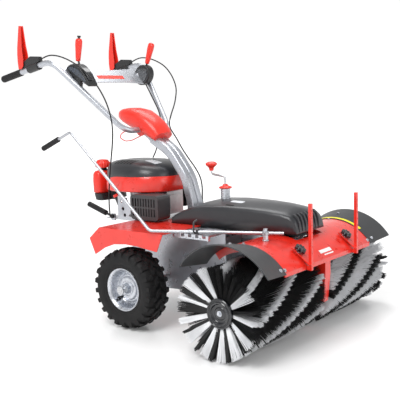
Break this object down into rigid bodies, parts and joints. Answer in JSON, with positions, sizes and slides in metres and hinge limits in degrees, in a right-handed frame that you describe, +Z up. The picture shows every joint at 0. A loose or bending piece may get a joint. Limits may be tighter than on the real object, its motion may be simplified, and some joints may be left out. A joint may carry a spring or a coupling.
{
  "type": "walk behind sweeper",
  "caption": "Two-wheeled petrol walk-behind sweeper with a swivelling full-width roller brush, steering rod, height crank and lever handlebar.",
  "frame": {"origin": "on the ground in the middle of the machine's footprint", "axes": "+X forward towards the brush, +Y to the machine's left, +Z up"},
  "size_m": [1.6056, 1.048, 1.277],
  "materials": {
    "red_paint": "gloss powder coat",
    "red_plastic": "gloss moulded",
    "black_plastic": "satin moulded",
    "black_paint": "satin powder coat",
    "silver_paint": "silver powder coat",
    "zinc_steel": "galvanised",
    "steel": "machined",
    "cast_aluminium": "as cast",
    "rubber": "matt",
    "tyre": "matt",
    "bristle": "nylon bristle",
    "belt": "matt"
  },
  "bodies": {
    "chassis": {"main_frame": "silver_paint", "transaxle_housing": "cast_aluminium", "rear_deck_cover": "red_plastic", "belt_hood": "black_plastic", "engine_block": "cast_aluminium", "drive_belts": "belt", "muffler": "steel", "muffler_guard": "black_paint", "engine_shroud": "red_plastic", "engine_top_cover": "black_plastic", "air_filter_housing": "black_plastic", "fuel_tank": "red_plastic", "oil_filler_tube": "black_plastic", "handle_column": "silver_paint", "handle_shroud": "red_plastic", "steering_rack": "zinc_steel", "crank_sleeve": "zinc_steel", "clutch_cable_right": "rubber", "clutch_cable_left": "rubber", "throttle_cable": "rubber"},
    "fuel_cap": {"fuel_cap": "red_plastic"},
    "oil_cap": {"oil_cap": "black_plastic"},
    "axle": {"wheel_axle": "steel"},
    "wheel_left": {"tyre_left": "tyre", "rim_left": "zinc_steel"},
    "wheel_right": {"tyre_right": "tyre", "rim_right": "zinc_steel"},
    "crankshaft": {"engine_pulley": "steel"},
    "transaxle_input": {"transaxle_pulley": "steel"},
    "handlebar": {"handlebar_tube": "silver_paint", "crossbar_plate": "silver_paint", "handle_grips": "rubber", "lever_brackets": "black_plastic", "control_box_left": "black_plastic", "control_box_right": "black_plastic"},
    "bail": {"handle_bail": "red_paint"},
    "clutch_lever_left": {"clutch_lever_left": "red_plastic"},
    "clutch_lever_right": {"clutch_lever_right": "red_plastic"},
    "speed_lever": {"speed_lever": "red_plastic"},
    "lever_button": {"lever_button": "black_plastic"},
    "throttle_lever": {"throttle_lever": "red_plastic"},
    "release_lever": {"release_lever": "rubber"},
    "height_crank": {"height_crank": "steel"},
    "crank_knob": {"crank_knob": "red_plastic"},
    "jockey_leg": {"jockey_leg": "steel"},
    "jockey_wheels": {"jockey_wheels": "rubber"},
    "head": {"head_gearbox": "red_paint", "brush_cover": "red_paint", "end_guards": "black_paint"},
    "head_input": {"head_pulley": "steel"},
    "brush": {"brush_shaft": "steel", "bristles_left": "bristle", "bristles_right": "bristle"},
    "post_left": {"post_left": "red_paint"},
    "post_right": {"post_right": "red_paint"},
    "star_knob_left": {"star_knob_left": "black_plastic"},
    "star_knob_right": {"star_knob_right": "black_plastic"},
    "steering_rod": {"steering_rod": "silver_paint", "rod_grip": "rubber"},
    "rod_latch": {"rod_latch": "black_plastic"}
  },
  "joints": [
    {"name": "wheel_left_spin", "type": "hinge", "parent": "chassis", "child": "wheel_left", "pos_m": [0.0582, 0.36, 0.165], "axis": [0, 1, 0], "continuous": true},
    {"name": "wheel_right_spin", "type": "hinge", "parent": "chassis", "child": "wheel_right", "pos_m": [0.0582, -0.36, 0.165], "axis": [0, 1, 0], "continuous": true},
    {"name": "axle_spin", "type": "hinge", "parent": "chassis", "child": "axle", "pos_m": [0.0582, 0, 0.165], "axis": [0, 1, 0], "continuous": true},
    {"name": "engine_spin", "type": "hinge", "parent": "chassis", "child": "crankshaft", "pos_m": [-0.1768, 0, 0.382], "axis": [0, 0, 1], "continuous": true},
    {"name": "transaxle_spin", "type": "hinge", "parent": "chassis", "child": "transaxle_input", "pos_m": [-0.0018, 0, 0.363], "axis": [0, 0, 1], "continuous": true},
    {"name": "handlebar_tilt", "type": "hinge", "parent": "chassis", "child": "handlebar", "pos_m": [-0.1548, 0, 0.792], "axis": [0, 1, 0], "range_deg": [-8, 10], "deforming": ["clutch_cable_right", "clutch_cable_left", "throttle_cable"]},
    {"name": "bail_swing", "type": "hinge", "parent": "chassis", "child": "bail", "pos_m": [-0.1548, 0, 0.792], "axis": [0, 1, 0], "range_deg": [-35, 0]},
    {"name": "clutch_lever_left_squeeze", "type": "hinge", "parent": "handlebar", "child": "clutch_lever_left", "pos_m": [-0.6488, 0.29, 1.09], "axis": [0, 1, 0], "range_deg": [-72, 0], "stiffness_Nm_per_rad": 1.2, "springref_deg": 11.46},
    {"name": "clutch_lever_right_squeeze", "type": "hinge", "parent": "handlebar", "child": "clutch_lever_right", "pos_m": [-0.6488, -0.29, 1.09], "axis": [0, 1, 0], "range_deg": [-72, 0], "stiffness_Nm_per_rad": 1.2, "springref_deg": 11.46},
    {"name": "speed_lever_tilt", "type": "hinge", "parent": "handlebar", "child": "speed_lever", "pos_m": [-0.3348, -0.214, 1.052], "axis": [0, 1, 0], "range_deg": [-14, 14]},
    {"name": "button_press", "type": "slide", "parent": "speed_lever", "child": "lever_button", "axis": [-0.1351, 0, -0.9908], "range_m": [0, 0.004], "stiffness_N_per_m": 300, "springref_m": -0.002},
    {"name": "throttle_tilt", "type": "hinge", "parent": "handlebar", "child": "throttle_lever", "pos_m": [-0.3628, 0.214, 1.047], "axis": [0, 1, 0], "range_deg": [-14, 14]},
    {"name": "release_lever_swing", "type": "hinge", "parent": "chassis", "child": "release_lever", "pos_m": [-0.2418, -0.161, 0.408], "axis": [0, 1, 0], "range_deg": [-10, 15]},
    {"name": "crank_turn", "type": "hinge", "parent": "chassis", "child": "height_crank", "pos_m": [0.2802, 0, 0.55], "axis": [0, 0, 1], "range_deg": [-1350, 2250]},
    {"name": "crank_knob_spin", "type": "hinge", "parent": "height_crank", "child": "crank_knob", "pos_m": [0.2082, 0, 0.635], "axis": [0, 0, 1], "continuous": true},
    {"name": "jockey_height", "type": "slide", "parent": "chassis", "child": "jockey_leg", "axis": [0, 0, 1], "range_m": [-0.0302, 0.0502]},
    {"name": "jockey_wheels_roll", "type": "hinge", "parent": "jockey_leg", "child": "jockey_wheels", "pos_m": [0.2802, 0, 0.06], "axis": [0, 1, 0], "continuous": true},
    {"name": "head_swivel", "type": "hinge", "parent": "chassis", "child": "head", "pos_m": [0.6062, 0, 0.357], "axis": [0, 0, 1], "range_deg": [-15, 15]},
    {"name": "head_input_spin", "type": "hinge", "parent": "head", "child": "head_input", "pos_m": [0.6062, 0, 0.382], "axis": [0, 0, 1], "continuous": true},
    {"name": "brush_spin", "type": "hinge", "parent": "head", "child": "brush", "pos_m": [0.6062, 0, 0.172], "axis": [0, 1, 0], "continuous": true},
    {"name": "post_left_slide", "type": "slide", "parent": "head", "child": "post_left", "axis": [0.7986, 0, -0.6018], "range_m": [0, 0.012]},
    {"name": "star_knob_left_turn", "type": "hinge", "parent": "head", "child": "star_knob_left", "pos_m": [0.73758, 0.177, 0.34634], "axis": [0.6018, 0, 0.7986], "continuous": true},
    {"name": "post_right_slide", "type": "slide", "parent": "head", "child": "post_right", "axis": [0.7986, 0, -0.6018], "range_m": [0, 0.012]},
    {"name": "star_knob_right_turn", "type": "hinge", "parent": "head", "child": "star_knob_right", "pos_m": [0.73758, -0.177, 0.34634], "axis": [0.6018, 0, 0.7986], "continuous": true},
    {"name": "steering_rod_turn", "type": "hinge", "parent": "head", "child": "steering_rod", "pos_m": [0.6282, -0.222, 0.418], "axis": [0, 0, 1], "range_deg": [-15, 15]},
    {"name": "latch_lift", "type": "hinge", "parent": "steering_rod", "child": "rod_latch", "pos_m": [0.3882, -0.32396, 0.418], "axis": [0.9204, 0.391, 0], "range_deg": [-40, 0]},
    {"name": "fuel_cap_turn", "type": "hinge", "parent": "chassis", "child": "fuel_cap", "pos_m": [-0.3878, -0.066, 0.636], "axis": [0, 0, 1], "range_deg": [-90, 0]},
    {"name": "oil_cap_turn", "type": "hinge", "parent": "chassis", "child": "oil_cap", "pos_m": [-0.2279, -0.14202, 0.4943], "axis": [-0.3993, -0.0856, 0.9128], "range_deg": [-180, 0]}
  ],
  "couplings": [
    {"joint": "jockey_height", "follows": "crank_turn", "m_per_rad": 0.0012732},
    {"joint": "steering_rod_turn", "follows": "head_swivel", "ratio": -1},
    {"joint": "head_input_spin", "follows": "brush_spin", "ratio": 6}
  ]
}
